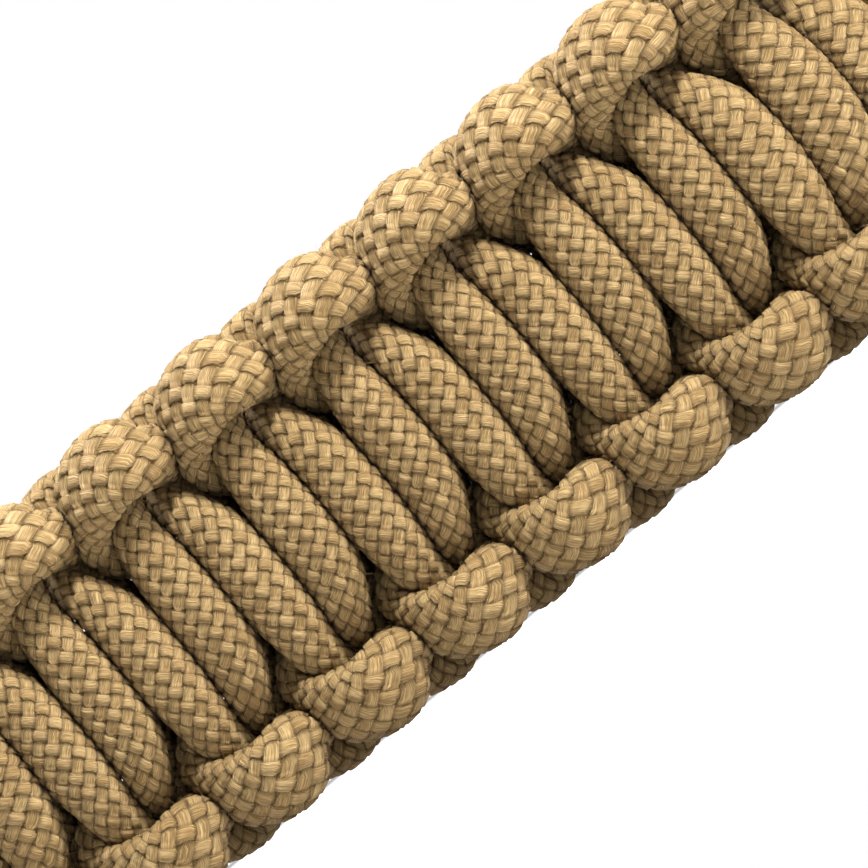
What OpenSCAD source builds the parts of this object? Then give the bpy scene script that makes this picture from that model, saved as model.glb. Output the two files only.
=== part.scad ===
// A bracelet woven from round braided cord. Two core strands run side by side round
// a closed loop and pass over a bar at each end of a clasp. Two working cords are
// knotted round the core: the front cord crosses the outer face and shows as short
// bumps along the inner face's edges, and the back cord does the same on the other
// face. The loop lies on its side, with the band's width along Z. Millimetres.

/* [Cord] */
// Diameter of the cord where nothing squeezes it
cord_d = 3.8; // [3.4:0.1:4.2]
// Thickness of a core strand, squeezed by the knots
core_d = 3.0; // [2.6:0.1:3.4]
// Room that one strand of the weave takes along the band
strand_room = 3.9; // [3.7:0.1:4.4]
// Air between strands that lie against each other
strand_gap = 0.2; // [0.1:0.02:0.3]

/* [Band] */
// Number of whole knots along the band
knots = 22; // [18:1:28]
// Straight stretch at the front of the loop
front_len = 56; // [44:1:62]
// Bare core between the last knot and the clasp's bar
neck_len = 8.5; // [7:0.5:11]

/* [Clasp] */
// Distance between the middles of the two end bars
bar_span = 42; // [38:1:50]
// Diameter of an end bar
bar_d = 3; // [2.4:0.1:3.6]
// Width of the slot between the arms that hold a bar
slot_w = 15; // [12:0.5:17]
// Width of the clasp across the band
clasp_w = 21; // [20:0.5:24]
// Thickness of the clasp
clasp_t = 8; // [6:0.5:10]
// Radius of the clasp's long edges
edge_r = 2.4; // [1.5:0.1:2.8]
// Radius of the corners of the clasp's outline
corner_r = 2; // [1:0.1:2.4]
// Length of the finger recess in each side
recess_len = 11; // [8:0.5:14]
// Depth of the finger recess
recess_depth = 1.6; // [1:0.1:2.2]
// Width of the seam and of the grooves between the ribs
groove_w = 0.7; // [0.5:0.1:1]
// Depth of the seam and of the grooves between the ribs
groove_depth = 0.6; // [0.3:0.1:0.8]

/* [Hidden] */

// Half a knot of the front cord, from the fold over the left edge, across the outer
// face, down beside the core, and under the right edge of the inner face. The other
// half is its mirror image, half a pitch on. Columns: place along the band in
// pitches, place across it and height from its middle in cord diameters, then the
// section's free width and thickness in cord diameters.
ROUTE = [
    [-0.08,  2.30,  0.02, 0.84, 0.80],
    [-0.07,  2.01,  0.33, 0.62, 0.80],
    [-0.10,  1.58,  0.60, 0.74, 0.86],
    [-0.10,  1.06,  0.78, 0.90, 0.90],
    [-0.10,  0.47,  0.86, 0.99, 0.94],
    [-0.10, -0.15,  0.86, 1.00, 0.94],
    [-0.12, -0.74,  0.79, 0.94, 0.92],
    [-0.18, -1.22,  0.61, 0.76, 0.90],
    [-0.25, -1.51,  0.30, 0.64, 0.87],
    [-0.30, -1.64, -0.01, 0.78, 0.86],
    [-0.33, -1.87, -0.28, 0.84, 0.80],
    [-0.31, -2.20, -0.52, 1.06, 0.80],
    [-0.20, -2.53, -0.85, 1.28, 0.82],
    [-0.02, -2.70, -1.05, 1.34, 0.84],
    [ 0.19, -2.69, -1.08, 1.34, 0.84],
    [ 0.35, -2.50, -0.76, 1.18, 0.82]
];
ROWS = len(ROUTE);

// Where the rings of a section lie, in halves of a knot: closer together in the fold.
// A working cord starts and ends at the first of them, beside the core.
RING_AT = [0.57, 0.65, 0.73, 0.80, 0.87, 0.92, 0.97, 1.05, 1.15, 1.36];
// How far the weave is moved along the band, in pitches, so that both ends match
phase = 0.24;
// Stretch of a half knot that counts as one bend of the cord
own_bend = 0.2;
// Step to each side, in half knots, that a heading is taken over
near = 0.01;
// How much the place across the band and the height count in the outward direction,
// and how far that direction leans back along the band, in cord diameters
OUTWARD = [0, 0.4, 1.6];
lean = 0.3;
// Shape of a squeezed section: 2 is an ellipse, and more is boxier
section_power = 2.4;
// Extra air that keeps the flat facets of strands apart where they cross, and off the core
corner_gap = 0.11 * cord_d;
core_gap = 0.18 * cord_d;
// How much further the corners of a section stand out than a smooth cord's edge,
// so that its flats don't make the cord thin
fullness = 1.06;
// Length of the blunt cap on a cut end
cap_len = 0.25 * cord_d;

// Sides of a cord's section
sides = 6;
half_rings = len(RING_AT);
// Rings along the knotted core, along a neck and round a bar
core_rings = 2 * knots;
neck_rings = 6;
bar_rings = 8;

pitch = 2 * strand_room;
band_len = knots * pitch;
core_y = (core_d + strand_gap) / 2;
bar_y = (cord_d + strand_gap) / 2;
bar_lift = (bar_d + cord_d) / 2 + strand_gap;
// Part of the neck that lies under the last strand, where the core stays straight
neck_lead = 0.75 * cord_d;
slot_len = bar_lift + cord_d / 2 + 2 * strand_gap;
bar_s = band_len / 2 + neck_len;

// The loop: a straight front, a bend at each end of it, wider flanks, and a
// straight back that holds the clasp
turn_len = bar_s - front_len / 2;
mean_r = turn_len / PI;
bend_r = mean_r - (front_len - bar_span) / 4;
flank_r = mean_r + (front_len - bar_span) / 4;
bend_end = front_len / 2 + bend_r * PI / 2;
flank_end = bend_end + flank_r * PI / 2;
loop_depth = bend_r + flank_r;

function unit(v) = v / norm(v);

function blend(a, b, c, d, f) =
    (2 * b + (c - a) * f + (2 * a - 5 * b + 4 * c - d) * f * f
    + (3 * b - a - 3 * c + d) * f * f * f) / 2;

// Row i of the route, counted on through the mirrored halves
function route_row(i) =
    let (half = floor(i / ROWS), row = ROUTE[i - half * ROWS], side = half % 2 == 0 ? 1 : -1)
    [(row[0] + half / 2) * pitch, side * row[1] * cord_d, row[2] * cord_d,
        row[3] * cord_d, row[4] * cord_d];

// Place and section of the front cord, u half knots along it, in the straight band
function station(u) =
    let (t = u * ROWS, i = floor(t))
    blend(route_row(i - 1), route_row(i), route_row(i + 1), route_row(i + 2), t - i);

function centre(u) = let (q = station(u)) [q[0], q[1], q[2]];

function heading(u) = unit(centre(u + near) - centre(u - near));

// The same place on the other working cord
function turned(p) = [p[0], -p[1], -p[2]];

// Places and headings along the cord near one half knot, which the sections keep clear of
NEAR = [for (k = [-3 * ROWS : 4 * ROWS]) [k / ROWS, centre(k / ROWS), heading(k / ROWS)]];

// Distance from c along dir to the plane half way to a neighbour's middle q, less its air
function halfway(c, dir, q, air) =
    let (v = q - c, along = v * dir)
    along <= 0 ? cord_d : (norm(v) - air) / 2 * norm(v) / along;

// Distance from c along dir to the side of the core strand at y
function core_side(c, dir, y) =
    let (v = [0, y - c[1], -c[2]], along = v * dir)
    along <= 0 ? cord_d : (norm(v) - core_d / 2 - strand_gap - core_gap) * norm(v) / along;

function free_reach(width, thickness, angle) =
    pow(pow(abs(cos(angle)) * 2 / width, section_power)
    + pow(abs(sin(angle)) * 2 / thickness, section_power), -1 / section_power);

// How far the section at u reaches along dir before it meets anything. Strands of one
// cord that cross keep more air than those that run side by side.
function reach(u, c, t, dir, free) = min(
    [free, core_side(c, dir, core_y), core_side(c, dir, -core_y),
    for (n = NEAR) if (abs(n[0] - u) > own_bend)
        halfway(c, dir, n[1], strand_gap + corner_gap * norm(cross(t, n[2]))),
    for (n = NEAR) halfway(c, dir, turned(n[1]), strand_gap + corner_gap)]);

// One ring of the front cord in the straight band, its width axis first
function section(u) =
    let (
        q = station(u),
        c = [q[0], q[1], q[2]],
        t = heading(u),
        out = [-lean * cord_d, OUTWARD[1] * c[1], OUTWARD[2] * c[2]],
        normal = unit(out - (out * t) * t),
        side = cross(t, normal)
    )
    [for (k = [0 : sides - 1])
        let (angle = 360 * k / sides, dir = cos(angle) * side + sin(angle) * normal)
        c + reach(u, c, t, dir, fullness * free_reach(q[3], q[4], angle)) * dir];

HALF = [for (u = RING_AT) section(u)];

// Ring k of the front cord: the rings of one half knot, mirrored and moved on
function ring(k) =
    let (half = floor(k / half_rings), base = HALF[k - half * half_rings], odd = half % 2 != 0)
    [for (j = [0 : sides - 1])
        let (p = base[odd ? (3 * sides / 2 - j) % sides : j])
        [p[0] + (phase + half / 2) * pitch, odd ? -p[1] : p[1], p[2]]];

band_half_w = max([for (r = HALF, p = r) abs(p[1])]);
band_half_t = max([for (r = HALF, p = r) abs(p[2])]);
core_reach = bar_lift + cord_d / 2 * cos(180 / sides);
// The straight back's middle line, when the loop's box is centred
back_y = loop_depth / 2 + (band_half_t - max(core_reach, clasp_t / 2)) / 2;

// The loop's middle line, s along it from the middle of the front: x, y and heading
function loop_at(s) =
    let (a = abs(s), sign = s < 0 ? -1 : 1,
        bend = (a - front_len / 2) / bend_r * 180 / PI,
        flank = 90 + (a - bend_end) / flank_r * 180 / PI,
        at = a < front_len / 2 ? [a, 0, 0]
            : a < bend_end ? [front_len / 2 + bend_r * sin(bend), bend_r * (1 - cos(bend)), bend]
            : a < flank_end ? [bar_span / 2 + flank_r * sin(flank), bend_r - flank_r * cos(flank), flank]
            : [bar_span / 2 - (a - flank_end), loop_depth, 180])
    [sign * at[0], back_y - loop_depth + at[1], sign * at[2]];

// A place in the straight band, carried onto the loop
function on_loop(p) =
    let (at = loop_at(p[0]))
    [at[0] + sin(at[2]) * p[2], at[1] - cos(at[2]) * p[2], p[1] + band_half_w];

function middle(points) = [for (p = points) 1] * points / len(points);

// Faces between ring k and the next one, of count rings
function band_faces(k, count) =
    [for (j = [0 : sides - 1])
        let (a = k * sides + j, b = k * sides + (j + 1) % sides,
            c = (k + 1) % count * sides + j, d = (k + 1) % count * sides + (j + 1) % sides)
        each [[a, b, d], [a, d, c]]];

// A cord through a list of rings, with a blunt cap on each end
module open_cord(rings) {
    count = len(rings);
    first = middle(rings[0]);
    last = middle(rings[count - 1]);
    start_cap = first + cap_len * unit(first - middle(rings[1]));
    end_cap = last + cap_len * unit(last - middle(rings[count - 2]));
    points = [for (r = rings) each r, start_cap, end_cap];
    start_faces = [for (j = [0 : sides - 1]) [count * sides, (j + 1) % sides, j]];
    end_faces = [for (j = [0 : sides - 1])
        [count * sides + 1, (count - 1) * sides + j, (count - 1) * sides + (j + 1) % sides]];
    side_faces = [for (k = [0 : count - 2]) each band_faces(k, count)];
    polyhedron(points, concat(start_faces, side_faces, end_faces));
}

// A cord through a list of rings that closes on itself
module closed_cord(rings) {
    count = len(rings);
    polyhedron([for (r = rings) each r], [for (k = [0 : count - 1]) each band_faces(k, count)]);
}

module working_cord(other_face) {
    end_ring = knots * half_rings;
    open_cord([for (k = [-end_ring : end_ring])
        [for (p = ring(k)) on_loop(other_face ? turned(p) : p)]]);
}

module front_cord() {
    color("#b08d57") working_cord(false);
}

module back_cord() {
    color("#a5834f") working_cord(true);
}

// Share of the way from the last knot to the bar's near side, eased at both ends
function neck_share(s) =
    let (rise = neck_len - neck_lead - bar_d / 2,
        f = max(0, min(1, (abs(s) - band_len / 2 - neck_lead) / rise)))
    f * f * (3 - 2 * f);

// A round ring of the core
function core_ring(c, t, out, d) =
    let (normal = unit(out - (out * t) * t), side = cross(t, normal))
    [for (k = [0 : sides - 1])
        let (angle = 360 * k / sides)
        c + d / 2 * (cos(angle) * side + sin(angle) * normal)];

// Middle of the run of core on one side: face 1 passes over the bars, -1 under them
function run_centre(s, face) =
    let (f = neck_share(s))
    [s, -face * (core_y + f * (bar_y - core_y)), face * f * bar_lift];

function run_ring(s, face) =
    let (t = face * unit(run_centre(s + near, face) - run_centre(s - near, face)),
        d = core_d + neck_share(s) * (cord_d - core_d))
    core_ring(run_centre(s, face), t, [0, 0, face], d);

// Rings of the half turn round one bar
function turn_rings(face) =
    [for (k = [1 : bar_rings - 1])
        let (angle = 180 * k / bar_rings,
            c = [face * (bar_s + bar_lift * sin(angle)), -face * bar_y * cos(angle),
                face * bar_lift * cos(angle)],
            t = unit([face * bar_lift * cos(angle), face * bar_y * sin(angle),
                -face * bar_lift * sin(angle)]))
        core_ring(c, t, [face * sin(angle), 0, face * cos(angle)], cord_d)];

module core_cord() {
    neck = [for (k = [0 : neck_rings]) band_len / 2 + neck_len * k / neck_rings];
    knotted = [for (k = [1 : core_rings - 1]) band_len * (k / core_rings - 0.5)];
    places = concat([for (k = [neck_rings : -1 : 0]) -neck[k]], knotted, neck);
    count = len(places);
    rings = concat(
        [for (s = places) run_ring(s, 1)],
        turn_rings(1),
        [for (k = [count - 1 : -1 : 0]) run_ring(places[k], -1)],
        turn_rings(-1));
    color("#8f7145") closed_cord([for (r = rings) [for (p = r) on_loop(p)]]);
}

// A rectangle with round corners
module rounded(size, r) {
    square([size[0] - 2 * r, size[1]], center = true);
    square([size[0], size[1] - 2 * r], center = true);
    for (x = [-1, 1], y = [-1, 1])
        translate([x * (size[0] / 2 - r), y * (size[1] / 2 - r)]) circle(r, $fn = 48);
}

module clasp_block() {
    length = bar_span + bar_d;
    intersection() {
        linear_extrude(clasp_t, center = true) rounded([length, clasp_w], corner_r);
        rotate([90, 0, 90]) linear_extrude(length, center = true) rounded([clasp_w, clasp_t], edge_r);
    }
}

// A shallow groove all round the clasp at x
module seam(x) {
    translate([x, 0, 0]) difference() {
        cube([groove_w, 2 * clasp_w, 2 * clasp_t], center = true);
        cube([2 * groove_w, clasp_w - 2 * groove_depth, clasp_t - 2 * groove_depth], center = true);
    }
}

// The finger recess in one side, with ribs left across it
module finger_recess(side) {
    rib_room = recess_len / 4;
    translate([0, side * clasp_w / 2, 0]) {
        cube([recess_len, 2 * recess_depth, 2 * clasp_t], center = true);
        for (k = [-1 : 1])
            translate([k * rib_room, 0, 0])
                cube([groove_w, 2 * (recess_depth + groove_depth), 2 * clasp_t], center = true);
    }
}

module clasp() {
    color("#26262a") translate([0, back_y, band_half_w]) rotate([90, 0, 180]) {
        difference() {
            clasp_block();
            for (end = [-1, 1])
                translate([end * (bar_span / 2 + clasp_w / 2 - slot_len), 0, 0])
                    cube([clasp_w, slot_w, 2 * clasp_t], center = true);
            for (side = [-1, 1]) finger_recess(side);
            seam(recess_len / 2 + 2 * groove_w);
        }
        for (end = [-1, 1])
            translate([end * bar_span / 2, 0, 0]) rotate([90, 0, 0])
                cylinder(h = slot_w + 2 * groove_w, d = bar_d, center = true, $fn = 48);
    }
}

core_cord();
front_cord();
back_cord();
clasp();
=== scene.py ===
"""Knotted paracord bracelet on its side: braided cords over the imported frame, light and camera.

Shapes are worked out in millimetres in the straight band (x along it, y across it, z out of
its outer face), carried onto the loop, and handed to Blender in metres.
"""

import math

import bpy
import numpy as np
from mathutils import Matrix, Vector


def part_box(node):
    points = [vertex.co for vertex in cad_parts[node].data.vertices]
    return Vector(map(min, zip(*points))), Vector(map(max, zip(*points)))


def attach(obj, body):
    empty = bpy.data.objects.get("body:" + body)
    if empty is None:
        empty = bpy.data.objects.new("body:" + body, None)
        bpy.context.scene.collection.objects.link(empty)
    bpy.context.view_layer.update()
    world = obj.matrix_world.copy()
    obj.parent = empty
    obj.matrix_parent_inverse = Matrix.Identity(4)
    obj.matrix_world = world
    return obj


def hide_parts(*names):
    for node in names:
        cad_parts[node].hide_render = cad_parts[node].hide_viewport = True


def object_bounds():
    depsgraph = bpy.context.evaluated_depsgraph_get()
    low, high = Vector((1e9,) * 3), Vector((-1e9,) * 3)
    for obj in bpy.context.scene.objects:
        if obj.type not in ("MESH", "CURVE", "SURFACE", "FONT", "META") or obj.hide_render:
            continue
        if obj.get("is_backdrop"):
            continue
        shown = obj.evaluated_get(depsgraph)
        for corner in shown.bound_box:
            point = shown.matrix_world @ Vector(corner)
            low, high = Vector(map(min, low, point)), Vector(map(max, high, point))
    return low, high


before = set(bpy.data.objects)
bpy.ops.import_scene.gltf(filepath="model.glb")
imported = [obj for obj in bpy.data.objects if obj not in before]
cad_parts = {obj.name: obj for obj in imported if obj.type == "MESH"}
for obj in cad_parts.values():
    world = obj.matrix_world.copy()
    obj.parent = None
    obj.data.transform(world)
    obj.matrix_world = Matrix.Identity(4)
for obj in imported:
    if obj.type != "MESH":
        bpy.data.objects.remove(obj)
cad_low, cad_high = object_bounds()

MM = 0.001

# Sizes that the part's source has too, in millimetres
CORD_D = 3.8
CORE_D = 3.0
STRAND_ROOM = 3.9
STRAND_GAP = 0.2
KNOTS = 22
FRONT_LEN = 56.0
NECK_LEN = 8.5
BAR_SPAN = 42.0
BAR_D = 3.0
FIRST_HALF = 0.57  # where the cords start, in half knots
PHASE = 0.24  # how far the knots are shifted along the band, in pitches
OUTWARD = np.array([0.0, 0.4, 1.6])  # which way a section faces, by its place from the band's middle
LEAN = 0.3  # how far a section leans back along the band
SECTION_POWER = 2.4  # 2 is an ellipse, and more is squarer
FULLNESS = 1.06

PITCH = 2 * STRAND_ROOM
BAND_LEN = KNOTS * PITCH
BAR_S = BAND_LEN / 2 + NECK_LEN
CORE_Y = (CORE_D + STRAND_GAP) / 2
BAR_Y = (CORD_D + STRAND_GAP) / 2
BAR_LIFT = (BAR_D + CORD_D) / 2 + STRAND_GAP
NECK_LEAD = 0.75 * CORD_D
MEAN_R = (BAR_S - FRONT_LEN / 2) / math.pi
BEND_R = MEAN_R - (FRONT_LEN - BAR_SPAN) / 4
FLANK_R = MEAN_R + (FRONT_LEN - BAR_SPAN) / 4
BEND_END = FRONT_LEN / 2 + BEND_R * math.pi / 2
FLANK_END = BEND_END + FLANK_R * math.pi / 2
LOOP_DEPTH = BEND_R + FLANK_R
clasp_low, clasp_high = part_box("clasp")
BACK_Y = (clasp_low.y + clasp_high.y) / 2 / MM
MID_Z = (cad_low.z + cad_high.z) / 2 / MM

# Half a knot of the front cord. Columns: place along the band in pitches, place across
# it and height from its middle in cord diameters, the section's free width and thickness.
ROUTE = np.array([
    [-0.08, 2.3, 0.02, 0.84, 0.8],
    [-0.07, 2.01, 0.33, 0.62, 0.8],
    [-0.1, 1.58, 0.6, 0.74, 0.86],
    [-0.1, 1.06, 0.78, 0.9, 0.9],
    [-0.1, 0.47, 0.86, 0.99, 0.94],
    [-0.1, -0.15, 0.86, 1.0, 0.94],
    [-0.12, -0.74, 0.79, 0.94, 0.92],
    [-0.18, -1.22, 0.61, 0.76, 0.9],
    [-0.25, -1.51, 0.3, 0.64, 0.87],
    [-0.3, -1.64, -0.01, 0.78, 0.86],
    [-0.33, -1.87, -0.28, 0.84, 0.8],
    [-0.31, -2.2, -0.52, 1.06, 0.8],
    [-0.2, -2.53, -0.85, 1.28, 0.82],
    [-0.02, -2.7, -1.05, 1.34, 0.84],
    [0.19, -2.69, -1.08, 1.34, 0.84],
    [0.35, -2.5, -0.76, 1.18, 0.82],
])
TURNED = np.array([1.0, -1.0, -1.0])  # carries the front cord onto the inner face as the back cord

# The braid of the cord's sheath
YARNS = 10  # yarns each way round the cord
FIBRES = 24.0  # fibres that show across a float
FIBRE_SETS = 50.0  # how far apart two floats' fibres may be drawn from
BRAID_STEP = 1.02  # from one float to the next of the same yarn, along the cord
FINE, COARSE = 3, 2  # mesh faces along a float's side, at the front and elsewhere
FLOAT_TOP = 0.04  # height of a float's top over the cord's surface
CREVICE = -0.1  # height between two floats
CORNER = -0.2  # height where four floats meet
SIDE_IN = 0.13  # how far in from its side a float's top starts, in cells
END_IN = 0.3  # the same from its end, where it dives under the next float
OVERRUN = 0.11  # how far a float runs on past its cell at each end, in cells
TILT = 0.05  # one float's top stands that much higher or lower than another's

# Loose filaments where a cord folds over the edge
HAIRS = 220  # in each half knot
HAIR_D = 0.022
HAIR_LEN = 0.4
HAIR_SHORTEST = 0.4  # the shortest hair, in shares of the longest
HAIR_ROOT = 0.05  # how deep a hair starts in the sheath
HAIR_RINGS, HAIR_SIDES = 3, 3
HAIR_LEAN = 1.2  # how far it leans over, for each part that it stands out
HAIR_CURL = 1.6  # how far its tip curls away
HAIR_DROOP = 0.6  # how far its tip sinks back
HAIR_TAPER = 0.8  # share of its thickness lost at the tip
# Stretches of a half knot with loose filaments: over the fold, and down beside the core
FUZZY = np.array([[0.88, 1.06], [0.4, 0.58]])

# The melted ends of the cut cords
CAP_SIDES, CAP_RINGS = 24, 7
CAP_FIT = 0.97  # the cap's width in shares of the cord's
CAP_LAP = 0.5  # how far it starts back from the cord's end
CAP_RISE = 0.2 * CORD_D
CAP_TIP = 0.02  # share of the width left at the dome's top

# Tables of the surface
HALF_STEPS = 200  # rings in a half knot
ANGLES = 120  # points in a ring
BLUR = 2  # rings or points over which the walls' edges are softened
EXTRA = 4  # rings past each end, cut off after the blur
OWN_BEND = 0.2  # half knots to each side that count as the same bend
NEAR_STEPS = 48  # places in a half knot of the cords looked at as neighbours
NEAR_REACH = 2.5 * CORD_D
TINY = 1e-6
FAR = 99.0
CORE_STEPS, CORE_TURN_STEPS = 900, 59


def unit(v):
    """v scaled to length 1."""
    return v / np.linalg.norm(v, axis=-1, keepdims=True)


def route_row(i):
    """Rows i of the route, counted on through the mirrored halves."""
    half = np.floor_divide(i, len(ROUTE))
    rows = ROUTE[np.mod(i, len(ROUTE))].copy()
    rows[:, 0] = (rows[:, 0] + half / 2) * PITCH
    rows[:, 1] *= np.where(half % 2 == 0, 1, -1)
    rows[:, 1:] *= CORD_D
    return rows


def station(u):
    """Place and section of the front cord, u half knots along it."""
    t = np.asarray(u, float) * len(ROUTE)
    i = np.floor(t).astype(int)
    f = (t - i)[:, None]
    a, b, c, d = (route_row(i + k) for k in (-1, 0, 1, 2))
    return (2 * b + (c - a) * f + (2 * a - 5 * b + 4 * c - d) * f**2 + (3 * b - a - 3 * c + d) * f**3) / 2


def centre(u):
    """Middle of the front cord, u half knots along it."""
    return station(u)[:, :3]


def axes_at(u):
    """Tangent, side and normal of the front cord's sections."""
    near = 0.01
    c = centre(u)
    tangent = unit(centre(u + near) - centre(u - near))
    out = OUTWARD * c - [LEAN * CORD_D, 0, 0]
    normal = unit(out - (out * tangent).sum(1, keepdims=True) * tangent)
    return tangent, np.cross(tangent, normal), normal


def smoothed(r, width, axis, wrap):
    """r blurred a little along one axis."""
    reach = 3 * width
    k = np.arange(-reach, reach + 1)
    w = np.exp(-((k / width) ** 2) / 2)
    pad = [(0, 0), (0, 0)]
    pad[axis] = (reach, reach)
    big = np.pad(r, pad, mode="wrap" if wrap else "edge")
    size = r.shape[axis]
    return sum(w[j] * np.take(big, range(j, j + size), axis=axis) for j in range(len(k))) / w.sum()


def wall_reach(along, room):
    """How far a ray runs to a wall across the way to a neighbour, or FAR where it turns away."""
    return np.where(along > TINY, room / np.maximum(along, TINY), FAR)


def free_reach(q, side_share, normal_share):
    """How far a free section's outline lies from its middle, for rays with these shares."""
    across = np.abs(side_share[None] * 2 / q[:, 3:4]) ** SECTION_POWER
    upward = np.abs(normal_share[None] * 2 / q[:, 4:5]) ** SECTION_POWER
    return (across + upward) ** (-1 / SECTION_POWER) * FULLNESS


def surface_table():
    """Points of the front cord over two half knots: [step, angle, xyz], evenly spaced round each ring."""
    u = np.arange(-EXTRA, 2 * HALF_STEPS + EXTRA + 1) / HALF_STEPS
    q = station(u)
    c = q[:, :3]
    tangent, side, normal = axes_at(u)
    angle = 2 * np.pi * np.arange(ANGLES) / ANGLES
    cos, sin = np.cos(angle), np.sin(angle)
    dirs = cos[None, :, None] * side[:, None] + sin[None, :, None] * normal[:, None]
    reach = free_reach(q, cos, sin)
    near_u = np.arange(-3 * NEAR_STEPS, 5 * NEAR_STEPS) / NEAR_STEPS
    own = centre(near_u)
    for k in range(len(u)):
        apart = np.abs(near_u - u[k]) > OWN_BEND
        for points in (own[apart], own * TURNED):
            v = points - c[k]
            dist = np.linalg.norm(v, axis=1)
            v, dist = v[dist < NEAR_REACH], dist[dist < NEAR_REACH]
            reach[k] = np.minimum(reach[k], wall_reach(dirs[k] @ v.T, dist / 2 * dist).min(1))
        for y in (-CORE_Y, CORE_Y):
            v = np.array([0.0, y - c[k, 1], -c[k, 2]])
            dist = np.linalg.norm(v)
            reach[k] = np.minimum(reach[k], wall_reach(dirs[k] @ v, (dist - CORE_D / 2) * dist))
    reach = smoothed(smoothed(reach, BLUR, axis=1, wrap=True), BLUR, axis=0, wrap=False)
    rings = c[:, None] + dirs * reach[..., None]
    even = np.empty_like(rings)
    share = np.arange(ANGLES) / ANGLES
    for k, ring in enumerate(rings):
        loop = np.vstack([ring, ring[:1]])
        run = np.concatenate([[0], np.cumsum(np.linalg.norm(np.diff(loop, axis=0), axis=1))])
        for axis in range(3):
            even[k, :, axis] = np.interp(share * run[-1], run, loop[:, axis])
    around = np.roll(even, -1, 1) - np.roll(even, 1, 1)
    forward = np.gradient(even, axis=0)
    out = unit(np.cross(forward, around))
    twist_rate = (np.gradient(side, axis=0) * normal).sum(1)
    twist = np.concatenate([[0], np.cumsum((twist_rate[1:] + twist_rate[:-1]) / 2)]) / (2 * np.pi)
    keep = slice(EXTRA, len(u) - EXTRA)
    facing = ((even[keep] - c[keep][:, None]) * out[keep]).sum() > 0
    return even[keep], out[keep] if facing else -out[keep], twist[keep] - twist[EXTRA], c[keep]


TABLE, TABLE_OUT, TWIST, LINE = surface_table()
STEP_LEN = np.concatenate([[0], np.cumsum(np.linalg.norm(np.diff(LINE, axis=0), axis=1))])
KNOT_LEN = STEP_LEN[-1]


def along_cord(length):
    """Steps of the table for places along the front cord, counted from the start of a knot."""
    knot = np.floor(length / KNOT_LEN)
    step = np.interp(length - knot * KNOT_LEN, STEP_LEN, np.arange(len(STEP_LEN)))
    return knot, step


def length_at(u):
    """Place along the front cord, u half knots on."""
    knot = math.floor(u / 2)
    return knot * KNOT_LEN + float(np.interp((u - 2 * knot) * HALF_STEPS, np.arange(len(STEP_LEN)), STEP_LEN))


def working_surface(length, turn):
    """Points and outward directions of the front cord in the straight band."""
    knot, step = along_cord(length)
    i = np.minimum(step.astype(int), len(TABLE) - 2)
    f = (step - i)[:, None]
    twist = np.interp(step, np.arange(len(TWIST)), TWIST) + knot * TWIST[-1]
    a = np.mod(turn - twist, 1) * ANGLES
    j = a.astype(int) % ANGLES
    g = (a - np.floor(a))[:, None]
    j2 = (j + 1) % ANGLES

    def read(table):
        this_ring = table[i, j] * (1 - g) + table[i, j2] * g
        next_ring = table[i + 1, j] * (1 - g) + table[i + 1, j2] * g
        return this_ring * (1 - f) + next_ring * f

    points = read(TABLE)
    points[:, 0] += (knot + PHASE) * PITCH
    return points, unit(read(TABLE_OUT))


def neck_share(s):
    """How far the core strands have spread towards the bars, from 0 in the knots to 1."""
    rise = NECK_LEN - NECK_LEAD - BAR_D / 2
    f = np.clip((np.abs(s) - BAND_LEN / 2 - NECK_LEAD) / rise, 0, 1)
    return f * f * (3 - 2 * f)


def core_line():
    """The closed core in the straight band: middles, outward directions and diameters."""
    s = np.linspace(-BAR_S, BAR_S, CORE_STEPS, endpoint=False)
    angle = np.linspace(0, np.pi, CORE_TURN_STEPS, endpoint=False)
    middles, outs, widths = [], [], []
    for face in (1, -1):
        x = face * s
        f = neck_share(x)
        middles.append(np.column_stack([x, -face * (CORE_Y + f * (BAR_Y - CORE_Y)), face * f * BAR_LIFT]))
        outs.append(np.tile([0.0, 0.0, face], (len(x), 1)))
        widths.append(CORE_D + f * (CORD_D - CORE_D))
        middles.append(np.column_stack([
            face * (BAR_S + BAR_LIFT * np.sin(angle)),
            -face * BAR_Y * np.cos(angle),
            face * BAR_LIFT * np.cos(angle),
        ]))
        outs.append(np.column_stack([face * np.sin(angle), 0 * angle, face * np.cos(angle)]))
        widths.append(np.full(len(angle), CORD_D))
    return np.vstack(middles), np.vstack(outs), np.concatenate(widths)


CORE_MIDDLES, CORE_OUTS, CORE_WIDTHS = core_line()
CORE_LAPS = np.diff(np.vstack([CORE_MIDDLES, CORE_MIDDLES[:1]]), axis=0)
CORE_RUN = np.concatenate([[0], np.cumsum(np.linalg.norm(CORE_LAPS, axis=1))])


def core_surface(length, turn):
    """Points and outward directions of the core in the straight band."""

    def read(values):
        closed = np.concatenate([values, values[:1]])
        return np.interp(length % CORE_RUN[-1], CORE_RUN, closed)

    middle = np.column_stack([read(v) for v in CORE_MIDDLES.T])
    forward = np.roll(CORE_MIDDLES, -1, 0) - np.roll(CORE_MIDDLES, 1, 0)
    tangent = unit(np.column_stack([read(v) for v in forward.T]))
    out = np.column_stack([read(v) for v in CORE_OUTS.T])
    normal = unit(out - (out * tangent).sum(1, keepdims=True) * tangent)
    side = np.cross(tangent, normal)
    direction = np.cos(2 * np.pi * turn)[:, None] * side + np.sin(2 * np.pi * turn)[:, None] * normal
    return middle + direction * read(CORE_WIDTHS)[:, None] / 2, direction


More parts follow.
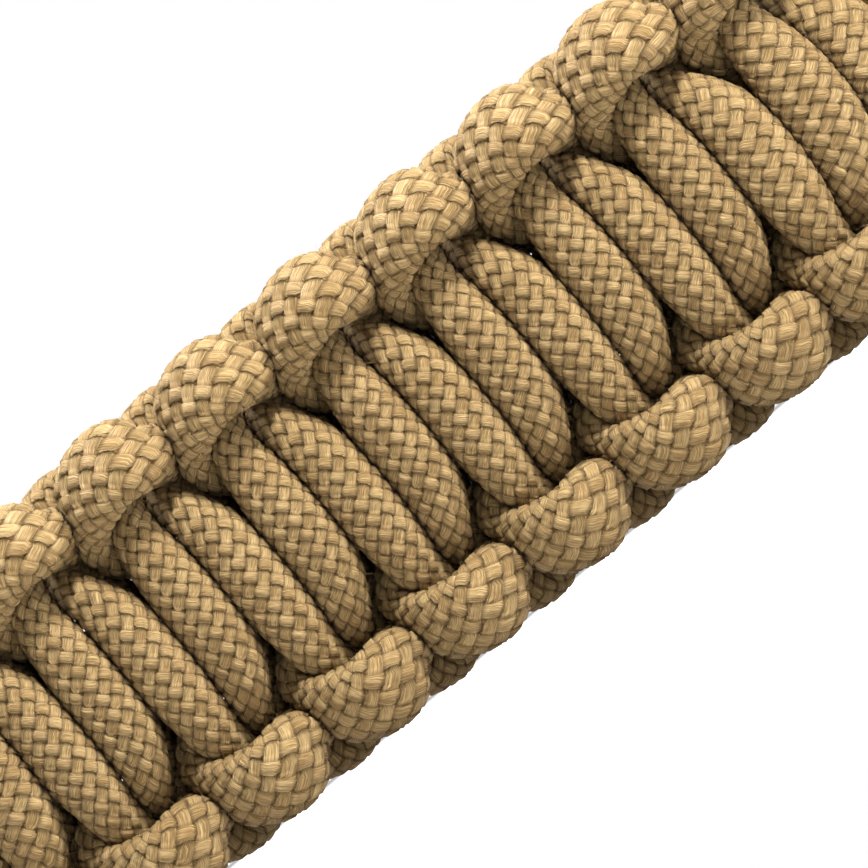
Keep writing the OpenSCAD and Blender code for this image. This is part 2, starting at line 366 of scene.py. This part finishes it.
def on_loop(p):
    """Places in the straight band, carried onto the loop."""
    s, y, z = p.T
    a = np.abs(s)
    bend = (a - FRONT_LEN / 2) / BEND_R
    flank = np.pi / 2 + (a - BEND_END) / FLANK_R
    where = [a < FRONT_LEN / 2, a < BEND_END, a < FLANK_END]
    bend_x, flank_x = FRONT_LEN / 2 + BEND_R * np.sin(bend), BAR_SPAN / 2 + FLANK_R * np.sin(flank)
    bend_depth, flank_depth = BEND_R * (1 - np.cos(bend)), BEND_R - FLANK_R * np.cos(flank)
    x = np.select(where, [a, bend_x, flank_x], BAR_SPAN / 2 - (a - FLANK_END))
    depth = np.select(where, [0 * a, bend_depth, flank_depth], LOOP_DEPTH)
    heading = np.sign(s) * np.select(where, [0 * a, bend, flank], np.pi)
    return np.column_stack([
        np.sign(s) * x + np.sin(heading) * z,
        BACK_Y - LOOP_DEPTH + depth - np.cos(heading) * z,
        y + MID_Z,
    ])


def hashed(i, j, seed):
    """A number from 0 to 1 for each cell of the braid: the decimals of a large sine."""
    h = np.sin(i * 12.9898 + j * 78.233 + seed * 37.719) * 43758.5453
    return h - np.floor(h)


def quad_object(name, points, quads, weave=None):
    """A smooth object of four-cornered faces, with the braid's map when there is one."""
    mesh = bpy.data.meshes.new(name)
    mesh.vertices.add(len(points))
    mesh.vertices.foreach_set("co", points.astype(np.float32).ravel())
    mesh.loops.add(quads.size)
    mesh.loops.foreach_set("vertex_index", quads.astype(np.int32).ravel())
    mesh.polygons.add(len(quads))
    mesh.polygons.foreach_set("loop_start", np.arange(0, quads.size, 4, dtype=np.int32))
    if weave is not None:
        mesh.uv_layers.new(name="Weave").uv.foreach_set("vector", weave.astype(np.float32).ravel())
    mesh.update(calc_edges=True)
    mesh.validate()
    mesh.polygons.foreach_set("use_smooth", np.ones(len(mesh.polygons), bool))
    made = bpy.data.objects.new(name, mesh)
    bpy.context.scene.collection.objects.link(made)
    return made


def tubes(rings):
    """Faces of many tubes at once. rings: [tube, ring, corner, xyz]."""
    many, count, sides = rings.shape[:3]
    t, r, c = np.meshgrid(np.arange(many), np.arange(count - 1), np.arange(sides), indexing="ij")
    base = (t * count + r) * sides
    after = np.mod(c + 1, sides)
    return np.stack([base + c, base + after, base + sides + after, base + sides + c], -1).reshape(-1, 4)


def fuzz_mesh(name, halves, other_face, seed):
    """Loose filaments that stand out of the sheath where it folds over the edge."""
    dice = np.random.default_rng(seed)
    many = HAIRS * len(halves)
    low, high = FUZZY[dice.integers(len(FUZZY), size=many)].T
    u = np.repeat(halves, HAIRS) + low + (high - low) * dice.random(many)
    place = np.array([length_at(v) for v in u])
    root, out = working_surface(place, dice.random(many))
    length = HAIR_LEN * (HAIR_SHORTEST + (1 - HAIR_SHORTEST) * dice.random(many))[:, None]
    lean_to = unit(dice.normal(size=(many, 3)))
    curl = unit(dice.normal(size=(many, 3)))
    share = np.linspace(0, 1, HAIR_RINGS)[None, :, None]
    first, second = out + HAIR_LEAN * lean_to, HAIR_CURL * curl - HAIR_DROOP * out
    bow = share * first[:, None] + share**2 * second[:, None]
    line = (root - HAIR_ROOT * out)[:, None] + length[:, None] * bow
    side = unit(np.cross(first, curl))
    other = unit(np.cross(first, side))
    corner = 2 * np.pi * np.arange(HAIR_SIDES)[:, None] / HAIR_SIDES
    around = np.cos(corner) * side[:, None, None] + np.sin(corner) * other[:, None, None]
    radius = HAIR_D / 2 * (1 - HAIR_TAPER * share)
    rings = line[:, :, None] + radius[..., None] * around
    points = rings.reshape(-1, 3)
    if other_face:
        points = points * TURNED
    points = on_loop(points)
    points[:, 2] = np.maximum(points[:, 2], HAIR_D)
    return quad_object(name, points * MM, tubes(rings))


def end_cap(name, place, forward, other_face):
    """The melted blunt end of a cut cord: a low dome over the last ring."""
    turns = np.arange(CAP_SIDES) / CAP_SIDES
    ring, _ = working_surface(np.full(CAP_SIDES, place), turns)
    back, _ = working_surface(np.full(CAP_SIDES, place - CAP_LAP * forward), turns)
    middle = ring.mean(0)
    heading = unit(middle - back.mean(0))
    rings = [back * CAP_FIT + back.mean(0) * (1 - CAP_FIT)]
    for rise in np.linspace(0, 0.5 * np.pi, CAP_RINGS):
        width = CAP_FIT * max(math.cos(rise), CAP_TIP)
        rings.append(middle + width * (ring - middle) + CAP_RISE * math.sin(rise) * heading)
    rings = np.stack(rings)
    points = rings.reshape(-1, 3)
    if other_face:
        points = points * TURNED
    return quad_object(name, on_loop(points) * MM, tubes(rings[None]))


def braid_mesh(name, start, length, fine, surface, seed, other_face=False, closed=False):
    """A braided tube: a grid along both families of yarns, with a raised float in each cell."""
    rows = 2 * round(length / BRAID_STEP)
    step = length / rows * 2 if closed else BRAID_STEP
    count = YARNS * fine
    levels = rows * fine + (0 if closed else 1)
    k = np.repeat(np.arange(levels), count)
    a = np.tile(np.arange(count), levels)
    b = k - a
    i, p = np.divmod(a, fine)
    j, q = np.divmod(b, fine)
    along_a = (i + j) % 2 == 0
    inside = (p > 0) & (q > 0)

    def inner_line(part, lengthwise):
        """Place in its cell of a mesh line inside it: a float's end zones are longer than its sides."""
        inset = np.where(lengthwise, END_IN, SIDE_IN)
        return np.full(len(part), 0.5) if fine == 2 else np.where(part == 1, inset, 1 - inset)

    # A line between two cells lies beside one float and across the end of another
    shift = np.where(along_a, OVERRUN, -OVERRUN)
    ga = i + np.where(p == 0, np.where(q > 0, -shift, 0), inner_line(p, along_a))
    gb = j + np.where(q == 0, np.where(p > 0, shift, 0), inner_line(q, ~along_a))
    place = start + (ga + gb) * step / 2
    turn = (ga - gb) / (2 * YARNS)
    points, out = surface(place, turn)
    height = np.where(inside, FLOAT_TOP, np.where((p == 0) & (q == 0), CORNER, CREVICE))
    height = height + np.where(inside, TILT * (hashed(i % YARNS, i + j, seed) - 0.5), 0)
    points = points + out * height[:, None]
    if other_face:
        points = points * TURNED
    points = on_loop(points) * MM

    face_rows = levels if closed else levels - 2
    base_k = np.repeat(np.arange(face_rows), count)
    base_a = np.tile(np.arange(count), face_rows)

    def vertex(level, column):
        if closed:
            lap = level // levels
            column = column - lap * (levels // 2)
            level = level - lap * levels
        return level * count + np.mod(column, count)

    quads = np.column_stack([
        vertex(base_k, base_a),
        vertex(base_k + 1, base_a + 1),
        vertex(base_k + 2, base_a + 1),
        vertex(base_k + 1, base_a),
    ])
    # The map of a face counts in cells, and each face knows its cell by its near corner
    base_b = base_k - base_a
    cell_i, part_a = np.divmod(base_a, fine)
    cell_j, part_b = np.divmod(base_b, fine)
    lengthwise = (cell_i + cell_j) % 2 == 0

    def cell_line(part, lengthwise):
        """Place in its cell of any mesh line, its edges among them."""
        return np.where(part == 0, 0.0, np.where(part == fine, 1.0, inner_line(part, lengthwise)))

    low_a, high_a = (cell_i + cell_line(part_a + k, lengthwise) for k in (0, 1))
    low_b, high_b = (cell_j + cell_line(part_b + k, ~lengthwise) for k in (0, 1))
    uv_a = np.column_stack([low_a, high_a, high_a, low_a])
    uv_b = np.column_stack([low_b, low_b, high_b, high_b])
    return quad_object(name, points, quads, np.stack([uv_a, uv_b], -1))


def new_material(name):
    """An empty material, with its nodes, links and shader."""
    mat = bpy.data.materials.new(name)
    mat.use_nodes = True
    tree = mat.node_tree
    return mat, tree.nodes, tree.links, tree.nodes["Principled BSDF"]


def sheath_material():
    """Braided nylon: shiny fibres along each float, each float a little different, and painted shade in its
    crevices and between the strands.
    """
    mat, nodes, links, shader = new_material("Braided sheath")

    def math_node(kind, x, y=None, z=None):
        n = nodes.new("ShaderNodeMath")
        n.operation = kind
        for socket, value in zip(n.inputs, (x, y, z)):
            if value is None:
                continue
            if isinstance(value, (int, float)):
                socket.default_value = value
            else:
                links.new(value, socket)
        return n.outputs[0]

    def blend(share, x, y):
        """x where share is 0 and y where it is 1."""
        x_part = math_node("MULTIPLY", x, math_node("SUBTRACT", 1.0, share))
        return math_node("ADD", x_part, math_node("MULTIPLY", y, share))

    # Where a point lies along and across its float, from the map's two counts of cells
    uv = nodes.new("ShaderNodeUVMap")
    uv.uv_map = "Weave"
    parts = nodes.new("ShaderNodeSeparateXYZ")
    links.new(uv.outputs[0], parts.inputs[0])
    a, b = parts.outputs[0], parts.outputs[1]
    cell_a, cell_b = math_node("FLOOR", a), math_node("FLOOR", b)
    in_a, in_b = math_node("FRACT", a), math_node("FRACT", b)
    lean = math_node("FLOORED_MODULO", math_node("ADD", cell_a, cell_b), 2.0)
    along, across = blend(lean, in_a, in_b), blend(lean, in_b, in_a)

    # One random number for each float
    cell = nodes.new("ShaderNodeCombineXYZ")
    links.new(cell_a, cell.inputs[0])
    links.new(cell_b, cell.inputs[1])
    dice = nodes.new("ShaderNodeTexWhiteNoise")
    dice.noise_dimensions = "3D"
    links.new(cell.outputs[0], dice.inputs["Vector"])
    own = dice.outputs["Value"]

    # Fibres: noise drawn out along the float, and its own for each float
    thread = nodes.new("ShaderNodeCombineXYZ")
    links.new(math_node("MULTIPLY", across, FIBRES), thread.inputs[0])
    links.new(along, thread.inputs[1])
    links.new(math_node("MULTIPLY", own, FIBRE_SETS), thread.inputs[2])
    fibres = nodes.new("ShaderNodeTexNoise")
    fibres.inputs["Scale"].default_value = 1.0
    fibres.inputs["Detail"].default_value = 3.0
    fibres.inputs["Roughness"].default_value = 0.6
    links.new(thread.outputs[0], fibres.inputs["Vector"])
    fine_line = math_node("SUBTRACT", fibres.outputs[0], 0.5)

    def from_edge(x):
        """Distance in from the nearer edge of the cell."""
        return math_node("SUBTRACT", 0.5, math_node("ABSOLUTE", math_node("SUBTRACT", x, 0.5)))

    def eased(value, low, high, dark, light):
        """A shade that rises smoothly from dark at low to light at high."""
        n = nodes.new("ShaderNodeMapRange")
        n.interpolation_type = "SMOOTHSTEP"
        for socket, number in (("From Min", low), ("From Max", high), ("To Min", dark), ("To Max", light)):
            n.inputs[socket].default_value = number
        links.new(value, n.inputs["Value"])
        return n.outputs[0]

    # Painted shade: darker along a float's sides, at its ends and corners, and deep between the strands,
    # where shade falls
    side, end = from_edge(across), from_edge(along)
    painted_side_shade = eased(side, 0.0, 0.05, 0.75, 1.0)
    painted_end_shade = eased(end, 0.0, 0.22, 0.55, 1.0)
    painted_corner_shade = eased(math_node("MAXIMUM", side, end), 0.05, 0.22, 0.5, 1.0)
    # Ambient occlusion of the piece itself, painted into the colour as shade in the deep gaps between strands
    nook = nodes.new("ShaderNodeAmbientOcclusion")
    nook.samples = 6
    nook.only_local = True
    nook.inputs["Distance"].default_value = 4.0 * MM
    painted_nook_shade = eased(nook.outputs["AO"], 0.0, 0.55, 0.06, 1.0)
    painted_gap_shade = math_node("MULTIPLY", math_node("MULTIPLY", painted_side_shade, painted_end_shade), painted_corner_shade)
    painted_shade = math_node("MULTIPLY", painted_gap_shade, painted_nook_shade)

    # Fibres and whole floats differ in tone, and painted shade turns their sides, ends and the gaps between
    # strands dark brown
    tone = math_node("ADD", math_node("MULTIPLY_ADD", fine_line, 2.0, 0.12), math_node("MULTIPLY", own, 0.2))
    ramp = nodes.new("ShaderNodeValToRGB")
    ramp.color_ramp.elements[0].position = 0.0
    ramp.color_ramp.elements[0].color = (0.2, 0.115, 0.038, 1)
    ramp.color_ramp.elements[1].position = 0.9
    ramp.color_ramp.elements[1].color = (0.62, 0.452, 0.212, 1)
    links.new(tone, ramp.inputs[0])
    # The dark brown is the colour of the painted shade, mixed in wherever the shade masks darken
    dark = nodes.new("ShaderNodeMix")
    dark.data_type = "RGBA"
    links.new(painted_shade, dark.inputs["Factor"])
    dark.inputs["A"].default_value = (0.045, 0.018, 0.005, 1)
    links.new(ramp.outputs[0], dark.inputs["B"])
    links.new(dark.outputs["Result"], shader.inputs["Base Color"])

    # Relief: a float is rounded both ways and ribbed by its fibres
    def rounded(x, height):
        """An arch over a cell, highest in the middle."""
        return math_node("MULTIPLY", math_node("MULTIPLY", x, math_node("SUBTRACT", 1.0, x)), 4 * height)

    arch = math_node("ADD", rounded(across, 0.45), rounded(along, 0.8))
    relief = math_node("ADD", arch, math_node("MULTIPLY", fine_line, 0.75))
    bump = nodes.new("ShaderNodeBump")
    bump.inputs["Strength"].default_value = 1.0
    bump.inputs["Distance"].default_value = 0.18 * MM
    links.new(relief, bump.inputs["Height"])
    links.new(bump.outputs[0], shader.inputs["Normal"])
    # Roughness rises where the painted shade is deep
    links.new(math_node("MULTIPLY_ADD", painted_shade, -0.45, 1.0), shader.inputs["Roughness"])
    shader.inputs["Specular IOR Level"].default_value = 0.32
    shader.inputs["Specular Tint"].default_value = (1.0, 0.85, 0.62, 1)
    shader.inputs["Sheen Weight"].default_value = 0.05
    shader.inputs["Sheen Tint"].default_value = (1.0, 0.85, 0.6, 1)
    shader.inputs["Sheen Roughness"].default_value = 0.4
    return mat


def plain_material(name, dark, light, scale, roughness):
    """A patchy colour between two tones."""
    mat, nodes, links, shader = new_material(name)
    place = nodes.new("ShaderNodeTexCoord")
    patches = nodes.new("ShaderNodeTexNoise")
    patches.inputs["Scale"].default_value = scale
    links.new(place.outputs["Object"], patches.inputs["Vector"])
    shades = nodes.new("ShaderNodeValToRGB")
    shades.color_ramp.elements[0].position = 0.3
    shades.color_ramp.elements[0].color = dark
    shades.color_ramp.elements[1].position = 0.7
    shades.color_ramp.elements[1].color = light
    links.new(patches.outputs[0], shades.inputs[0])
    links.new(shades.outputs[0], shader.inputs["Base Color"])
    shader.inputs["Roughness"].default_value = roughness
    return mat


def clasp_material():
    """Matt black moulded plastic with a fine grain."""
    mat, nodes, links, shader = new_material("Moulded plastic")
    place = nodes.new("ShaderNodeTexCoord")
    grain = nodes.new("ShaderNodeTexNoise")
    grain.inputs["Scale"].default_value = 2500
    grain.inputs["Detail"].default_value = 3
    links.new(place.outputs["Object"], grain.inputs["Vector"])
    shades = nodes.new("ShaderNodeValToRGB")
    shades.color_ramp.elements[0].color = (0.012, 0.012, 0.013, 1)
    shades.color_ramp.elements[1].color = (0.03, 0.03, 0.032, 1)
    links.new(grain.outputs[0], shades.inputs[0])
    links.new(shades.outputs[0], shader.inputs["Base Color"])
    bump = nodes.new("ShaderNodeBump")
    bump.inputs["Strength"].default_value = 0.35
    bump.inputs["Distance"].default_value = 0.05 * MM
    links.new(grain.outputs[0], bump.inputs["Height"])
    links.new(bump.outputs[0], shader.inputs["Normal"])
    shader.inputs["Roughness"].default_value = 0.6
    shader.inputs["Specular IOR Level"].default_value = 0.3
    return mat


def dress(piece, node, material):
    """A finished piece in the place of a node."""
    piece.data.materials.append(material)
    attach(piece, "root")
    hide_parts(node)


# Cords: fine faces on the front stretch that the photo shows, coarser ones on the rest
sheath = sheath_material()
loose = plain_material("Loose filaments", (0.3, 0.19, 0.07, 1), (0.5, 0.35, 0.16, 1), 400, 0.8)
melted = plain_material("Melted ends", (0.05, 0.03, 0.012, 1), (0.13, 0.08, 0.03, 1), 900, 0.3)
FRONT_HALVES = 9
CORD_START, FRONT_START, FRONT_END, CORD_END = (
    length_at(FIRST_HALF + halves) for halves in (-KNOTS, -FRONT_HALVES, FRONT_HALVES, KNOTS)
)
STRETCHES = [
    ("left", CORD_START, FRONT_START, COARSE),
    ("mid", FRONT_START, FRONT_END, FINE),
    ("right", FRONT_END, CORD_END, COARSE),
]
for node, seed, other_face in (("front_cord", 1, False), ("back_cord", 2, True)):
    for part, begin, end, fine in STRETCHES:
        length = end - begin + BRAID_STEP
        piece = braid_mesh(f"{node}_{part}", begin, length, fine, working_surface, seed, other_face)
        dress(piece, node, sheath)

    halves = np.arange(-FRONT_HALVES, FRONT_HALVES + 1)
    dress(fuzz_mesh(f"{node}_fuzz", halves, other_face, seed), node, loose)
    for end, place, forward in (("start", CORD_START, -1), ("end", CORD_END, 1)):
        dress(end_cap(f"{node}_{end}_cap", place, forward, other_face), node, melted)

core = braid_mesh("core_cord_braid", 0.0, CORE_RUN[-1], COARSE, core_surface, 3, closed=True)
dress(core, "core_cord", sheath)

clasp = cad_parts["clasp"]
clasp.data.materials.clear()
clasp.data.materials.append(clasp_material())

# Floor, light and camera
scene = bpy.context.scene
FLOOR = 6.0  # from its middle to each side, in metres
floor_corners = [(-FLOOR, -FLOOR, 0), (FLOOR, -FLOOR, 0), (FLOOR, FLOOR, 0), (-FLOOR, FLOOR, 0)]
floor_mesh = bpy.data.meshes.new("floor")
floor_mesh.from_pydata(floor_corners, [], [(0, 1, 2, 3)])
floor = bpy.data.objects.new("floor", floor_mesh)
floor.location.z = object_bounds()[0].z
scene.collection.objects.link(floor)
paper, _, _, paper_shader = new_material("Paper")
paper_shader.inputs["Base Color"].default_value = (0.5, 0.5, 0.5, 1)
paper_shader.inputs["Roughness"].default_value = 0.9
paper_shader.inputs["Emission Color"].default_value = (1, 1, 1, 1)
paper_shader.inputs["Emission Strength"].default_value = 0.45
floor_mesh.materials.append(paper)
floor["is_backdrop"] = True

# The camera sees a white backdrop, and the cords get only a little light from it
scene.view_settings.view_transform = "Standard"
world = bpy.data.worlds.new("Studio")
scene.world = world
world.use_nodes = True
sky, sky_links = world.node_tree.nodes, world.node_tree.links
room = sky["Background"]
room.inputs["Color"].default_value = (1, 1, 1, 1)
room.inputs["Strength"].default_value = 0.02
backdrop = sky.new("ShaderNodeBackground")
backdrop.inputs["Color"].default_value = (1, 1, 1, 1)
backdrop.inputs["Strength"].default_value = 1.0
seen = sky.new("ShaderNodeLightPath")
pick = sky.new("ShaderNodeMixShader")
sky_links.new(seen.outputs["Is Camera Ray"], pick.inputs[0])
sky_links.new(room.outputs[0], pick.inputs[1])
sky_links.new(backdrop.outputs[0], pick.inputs[2])
sky_links.new(pick.outputs[0], sky["World Output"].inputs["Surface"])

FRONT_MID = Vector((0, BACK_Y - LOOP_DEPTH, MID_Z)) * MM


def area_light(name, at, size, power):
    """A round soft light aimed at the middle of the front stretch."""
    data = bpy.data.lights.new(name, "AREA")
    data.shape = "DISK"
    data.size = size
    data.energy = power
    lamp = bpy.data.objects.new(name, data)
    lamp.location = at
    lamp.rotation_mode = "QUATERNION"
    lamp.rotation_quaternion = (FRONT_MID - Vector(at)).to_track_quat("-Z", "Y")
    scene.collection.objects.link(lamp)


area_light("key", (0.27, -0.24, 0.42), 0.12, 6.4)
area_light("side", (0.45, -0.2, 0.11), 0.15, 1.2)
area_light("fill", (0.03, -0.4, 0.03), 0.05, 0.1)
area_light("rim", (-0.05, 0.06, 0.45), 0.3, 4.6)

# The photo: 868 pixels square, 16.77 pixels a millimetre on the front strands, band at 40 degrees
FRAME_PX = 868
PX_PER_MM = 16.77
BAND_ANGLE = math.radians(40)
CAMERA_DIST = 400.0
VIEW_X = 3.05  # the picture's middle, along the band
VIEW_DROP = 0.63  # and how far below the band's middle it lies
CAMERA_HEIGHT = 0.5  # over the floor
STRANDS_Y = BACK_Y - LOOP_DEPTH - ROUTE[4, 2] * CORD_D
target = Vector((VIEW_X, STRANDS_Y, MID_Z - VIEW_DROP))
eye = Vector((VIEW_X, STRANDS_Y - CAMERA_DIST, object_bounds()[0].z / MM + CAMERA_HEIGHT))
back = (eye - target).normalized()
level = Vector((1, 0, 0))
upright = back.cross(level)
right = math.cos(BAND_ANGLE) * level - math.sin(BAND_ANGLE) * upright
up = math.sin(BAND_ANGLE) * level + math.cos(BAND_ANGLE) * upright
camera = bpy.data.objects.new("camera", bpy.data.cameras.new("camera"))
camera.matrix_world = Matrix.Translation(eye * MM) @ Matrix((right, up, back)).transposed().to_4x4()
camera.data.lens = camera.data.sensor_width * CAMERA_DIST / (FRAME_PX / PX_PER_MM)
camera.data.clip_start = 0.01
scene.collection.objects.link(camera)
scene.camera = camera
